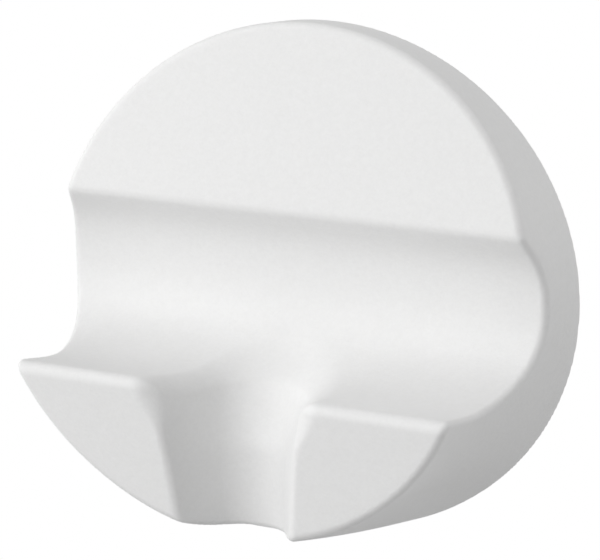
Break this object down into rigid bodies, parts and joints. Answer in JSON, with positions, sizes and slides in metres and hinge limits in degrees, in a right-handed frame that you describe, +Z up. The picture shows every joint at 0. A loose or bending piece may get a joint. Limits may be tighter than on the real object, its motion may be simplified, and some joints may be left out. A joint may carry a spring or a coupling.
{
  "type": "magnetic hook",
  "caption": "Round magnetic wall hook with a full-width trough and a rounded notch between its prongs, for hanging a brush or another tool by its neck.",
  "frame": {"origin": "middle of the grip pad's back face, where the hook meets the wall", "axes": "+Y into the wall along the back face's outward normal, so the front faces -Y; +Z up; +X to the right as seen from the front"},
  "size_m": [0.06, 0.029, 0.0608],
  "materials": {
    "shell_plastic": "white moulded plastic with a fine matte texture",
    "cover_plastic": "white moulded plastic, plain",
    "pad_silicone": "pale grey silicone, matte",
    "adhesive_film": "double-sided film, satin",
    "yoke_steel": "zinc-plated sheet steel",
    "magnet_nickel": "nickel-plated sintered magnet",
    "screw_steel": "zinc-plated steel"
  },
  "bodies": {
    "root": {"hook_shell": "shell_plastic", "back_cover": "cover_plastic", "grip_pad": "pad_silicone", "pad_adhesive": "adhesive_film", "yoke_plate": "yoke_steel", "magnet_top": "magnet_nickel", "magnet_bottom": "magnet_nickel", "magnet_left": "magnet_nickel", "magnet_right": "magnet_nickel", "screw_upper_left": "screw_steel", "screw_upper_right": "screw_steel", "screw_lower_left": "screw_steel", "screw_lower_right": "screw_steel"}
  },
  "joints": []
}
